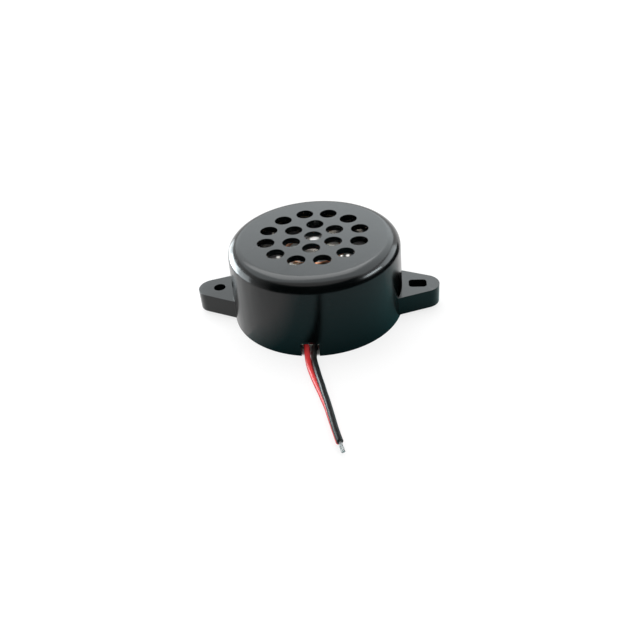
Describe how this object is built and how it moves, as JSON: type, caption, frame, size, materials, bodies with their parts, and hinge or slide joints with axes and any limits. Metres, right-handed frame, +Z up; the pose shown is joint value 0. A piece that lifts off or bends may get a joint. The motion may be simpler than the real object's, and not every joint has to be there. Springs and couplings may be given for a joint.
{
  "type": "mini speaker",
  "caption": "Small round cased speaker with a perforated lid, two mounting ears, one drilled and one slotted, and a red and a black lead.",
  "frame": {"origin": "centre of the round case on the plane of the rim it stands on", "axes": "+X along the ears towards the slotted ear, -Y the side where the leads leave, +Z up out of the perforated lid"},
  "size_m": [0.0486, 0.0596, 0.0159],
  "materials": {
    "case_black": "moulded black ABS, semi-gloss",
    "cover_black": "moulded black ABS, fine matt",
    "gasket_foam": "black closed-cell foam",
    "ring_card": "pressed card",
    "clear_film": "clear polyester film",
    "plated_steel": "zinc-plated pressed steel",
    "felt_black": "thin non-woven felt",
    "pot_steel": "nickel-plated soft iron",
    "magnet_nickel": "nickel-plated sintered magnet",
    "coil_copper": "enamelled copper winding",
    "board_brown": "paper-laminate board",
    "pad_copper": "bare copper foil",
    "solder": "bright tin solder",
    "red_pvc": "red PVC insulation",
    "black_pvc": "black PVC insulation",
    "tinned_copper": "tinned copper strands",
    "hot_melt": "milky hot-melt adhesive"
  },
  "bodies": {
    "case": {"housing": "case_black", "back_cover": "cover_black", "front_gasket": "gasket_foam", "front_ring": "ring_card", "diaphragm": "clear_film", "driver_frame": "plated_steel", "vent_felt": "felt_black", "pot": "pot_steel", "magnet": "magnet_nickel", "pole_plate": "pot_steel", "coil_tail_red": "coil_copper", "coil_tail_black": "coil_copper", "terminal_board": "board_brown", "solder_pads": "pad_copper", "solder_joint_red": "solder", "solder_joint_black": "solder", "red_lead": "red_pvc", "red_strands": "tinned_copper", "black_lead": "black_pvc", "black_strands": "tinned_copper", "lead_adhesive": "hot_melt"},
    "coil": {"voice_coil": "coil_copper"}
  },
  "joints": [
    {"name": "coil_travel", "type": "slide", "parent": "case", "child": "coil", "axis": [0, 0, 1], "range_m": [-0.0003, 0.0003], "stiffness_N_per_m": 600, "deforming": ["diaphragm", "coil_tail_red", "coil_tail_black"]}
  ]
}
